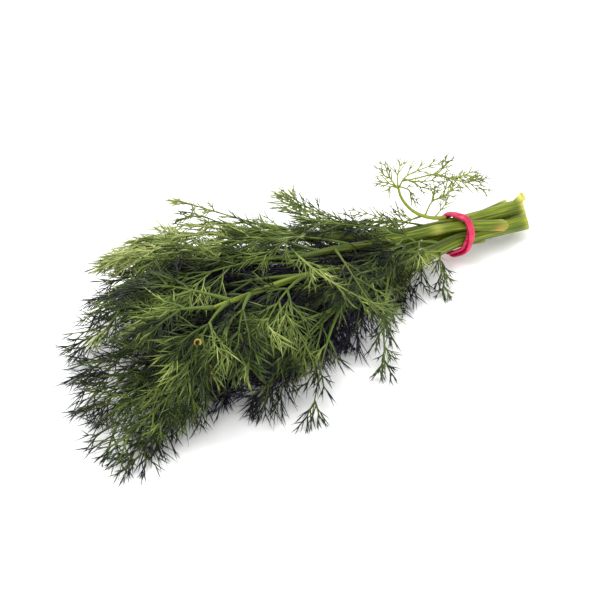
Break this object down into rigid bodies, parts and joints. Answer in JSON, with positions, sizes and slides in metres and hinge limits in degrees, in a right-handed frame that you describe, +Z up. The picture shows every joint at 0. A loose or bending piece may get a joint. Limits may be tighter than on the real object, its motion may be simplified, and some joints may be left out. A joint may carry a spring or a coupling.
{
  "type": "dill bunch",
  "caption": "Bunch of fresh dill lying on a surface: cut stems tied by a doubled rubber band, with a heap of feathery leaves.",
  "frame": {"origin": "middle of the footprint of the lying bunch, on the surface it lies on", "axes": "+X along the stems to the cut ends, the leaves at -X, +Z up"},
  "size_m": [0.2432, 0.1292, 0.0657],
  "materials": {
    "stem": "smooth, ribbed green plant skin with a slight sheen",
    "leaf": "soft matt green leaf threads",
    "band": "smooth crimson rubber with a soft gloss"
  },
  "bodies": {
    "root": {"rubber_band": "band", "sprig": "leaf", "stem_1": "stem", "stem_1_leaf_1": "leaf", "stem_1_leaf_2": "leaf", "stem_1_leaf_3": "leaf", "stem_1_leaf_4": "leaf", "stem_1_leaf_5": "leaf", "stem_1_leaf_6": "leaf", "stem_2": "stem", "stem_2_leaf_1": "leaf", "stem_2_leaf_2": "leaf", "stem_2_leaf_3": "leaf", "stem_2_leaf_4": "leaf", "stem_2_leaf_5": "leaf", "stem_3": "stem", "stem_3_leaf_1": "leaf", "stem_3_leaf_2": "leaf", "stem_3_leaf_3": "leaf", "stem_3_leaf_4": "leaf", "stem_3_leaf_5": "leaf", "stem_4": "stem", "stem_4_leaf_1": "leaf", "stem_4_leaf_2": "leaf", "stem_4_leaf_3": "leaf", "stem_4_leaf_4": "leaf", "stem_4_leaf_5": "leaf", "stem_5": "stem", "stem_5_leaf_1": "leaf", "stem_5_leaf_2": "leaf", "stem_5_leaf_3": "leaf", "stem_5_leaf_4": "leaf", "stem_5_leaf_5": "leaf", "stem_6": "stem", "stem_6_leaf_1": "leaf", "stem_6_leaf_2": "leaf", "stem_6_leaf_3": "leaf", "stem_6_leaf_4": "leaf", "stem_6_leaf_5": "leaf", "stem_7": "stem", "stem_7_leaf_1": "leaf", "stem_7_leaf_2": "leaf", "stem_7_leaf_3": "leaf", "stem_7_leaf_4": "leaf", "stem_7_leaf_5": "leaf", "stem_8": "stem", "stem_8_leaf_1": "leaf", "stem_8_leaf_2": "leaf", "stem_8_leaf_3": "leaf", "stem_8_leaf_4": "leaf", "stem_9": "stem", "stem_9_leaf_1": "leaf", "stem_9_leaf_2": "leaf", "stem_9_leaf_3": "leaf", "stem_9_leaf_4": "leaf"}
  },
  "joints": []
}
